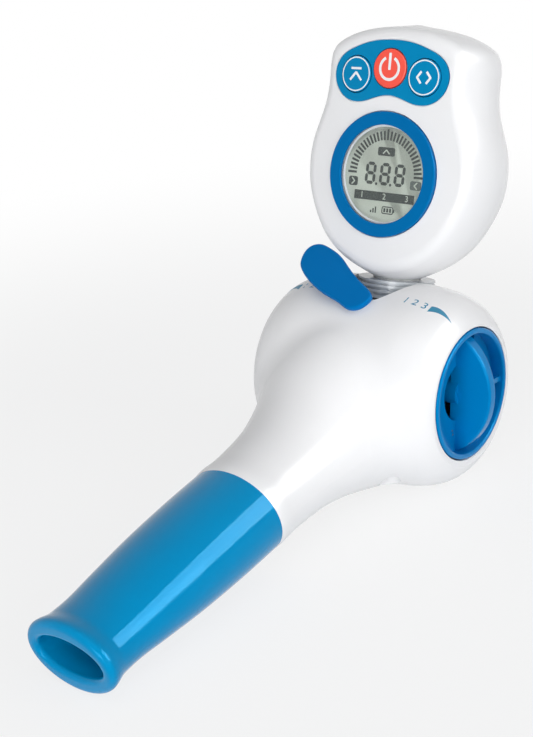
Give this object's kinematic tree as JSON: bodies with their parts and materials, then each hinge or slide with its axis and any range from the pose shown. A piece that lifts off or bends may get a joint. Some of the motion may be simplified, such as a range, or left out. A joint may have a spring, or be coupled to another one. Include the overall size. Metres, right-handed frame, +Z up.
{
  "type": "breathing trainer",
  "caption": "Hand-held breathing trainer: two-lobe white body with twin flow dials, oval blue mouthpiece, hinged port cap and a plug-on pressure meter head with a round display.",
  "frame": {"origin": "centre of the bounding box on the plane it rests on", "axes": "+Z up, +Y from the mouthpiece towards the back, +X to the exhale dial; the object lies on the flat under its body and the mouthpiece lip"},
  "size_m": [0.0718, 0.1768, 0.1204],
  "materials": {
    "white_abs": "satin",
    "dark_abs": "matte",
    "black_silicone": "matte",
    "clear_silicone": "satin",
    "steel_screws": "satin",
    "clear_collar": "gloss",
    "blue_mouthpiece": "gloss",
    "blue_dial": "gloss",
    "blue_tpe": "satin",
    "blue_panel": "satin",
    "red_key": "satin",
    "blue_bezel": "gloss",
    "clear_window": "gloss",
    "lcd_glass": "satin",
    "board_green": "satin",
    "cell_jacket": "satin",
    "nickel_contacts": "satin"
  },
  "bodies": {
    "trainer_body": {"body_lower_shell": "white_abs", "body_upper_shell": "white_abs", "air_core": "white_abs", "neck_seal": "black_silicone", "exhale_seat": "dark_abs", "inhale_seat": "dark_abs", "exhale_orifice_plate": "dark_abs", "inhale_orifice_plate": "dark_abs", "body_screws": "steel_screws", "port_collar": "clear_collar", "collar_gasket": "black_silicone"},
    "mouthpiece_sleeve": {"mouthpiece": "blue_mouthpiece"},
    "exhale_valve": {"exhale_flap": "clear_silicone"},
    "inhale_valve": {"inhale_flap": "clear_silicone"},
    "exhale_knob": {"exhale_dial": "blue_dial", "exhale_dial_screw": "steel_screws", "exhale_dial_ring": "black_silicone"},
    "inhale_knob": {"inhale_dial": "blue_dial", "inhale_dial_screw": "steel_screws", "inhale_dial_ring": "black_silicone"},
    "cap_flap": {"port_cap": "blue_tpe", "cap_retainer": "dark_abs"},
    "meter_head": {"head_front_shell": "white_abs", "head_rear_cover": "white_abs", "head_screws": "steel_screws", "keypad_panel": "blue_panel", "bezel_ring": "blue_bezel", "display_window": "clear_window", "lcd_panel": "lcd_glass", "lcd_holder": "dark_abs", "contact_strips": "black_silicone", "circuit_board": "board_green", "key_switches": "dark_abs", "pressure_sensor": "dark_abs", "sensor_tube": "clear_silicone", "board_chips": "dark_abs", "battery_tray": "dark_abs", "battery_cells": "cell_jacket", "battery_springs": "nickel_contacts", "battery_contacts": "nickel_contacts", "head_stem": "white_abs", "stem_seal": "black_silicone"},
    "battery_hatch": {"battery_door": "white_abs"},
    "left_button": {"key_left": "blue_panel"},
    "power_button": {"key_power": "red_key"},
    "right_button": {"key_right": "blue_panel"}
  },
  "joints": [
    {"name": "mouthpiece_pull", "type": "slide", "parent": "trainer_body", "child": "mouthpiece_sleeve", "axis": [0, -0.9921, -0.1253], "range_m": [0, 0.024]},
    {"name": "exhale_valve_lift", "type": "slide", "parent": "trainer_body", "child": "exhale_valve", "axis": [1, 0, 0], "range_m": [0, 0.0013], "stiffness_N_per_m": 12},
    {"name": "inhale_valve_lift", "type": "slide", "parent": "trainer_body", "child": "inhale_valve", "axis": [1, 0, 0], "range_m": [0, 0.0013], "stiffness_N_per_m": 12},
    {"name": "exhale_dial_turn", "type": "hinge", "parent": "trainer_body", "child": "exhale_knob", "pos_m": [0.022, 0.0393, 0.02792], "axis": [1, 0, 0], "range_deg": [0, 150]},
    {"name": "inhale_dial_turn", "type": "hinge", "parent": "trainer_body", "child": "inhale_knob", "pos_m": [-0.022, 0.0393, 0.02792], "axis": [1, 0, 0], "range_deg": [0, 150]},
    {"name": "port_cap_swing", "type": "hinge", "parent": "trainer_body", "child": "cap_flap", "pos_m": [0.00154, 0.02892, 0.05482], "axis": [0.1, -0.4921, 0.8648], "range_deg": [0, 80]},
    {"name": "meter_head_lift", "type": "slide", "parent": "trainer_body", "child": "meter_head", "axis": [0, 0.2652, 0.9642], "range_m": [0, 0.024]},
    {"name": "battery_door_lift", "type": "slide", "parent": "meter_head", "child": "battery_hatch", "axis": [0, 0.9642, -0.2652], "range_m": [0, 0.012]},
    {"name": "left_key_press", "type": "slide", "parent": "meter_head", "child": "left_button", "axis": [0, 0.9642, -0.2652], "range_m": [0, 0.0005], "stiffness_N_per_m": 600},
    {"name": "power_key_press", "type": "slide", "parent": "meter_head", "child": "power_button", "axis": [0, 0.9642, -0.2652], "range_m": [0, 0.0005], "stiffness_N_per_m": 600},
    {"name": "right_key_press", "type": "slide", "parent": "meter_head", "child": "right_button", "axis": [0, 0.9642, -0.2652], "range_m": [0, 0.0005], "stiffness_N_per_m": 600}
  ]
}
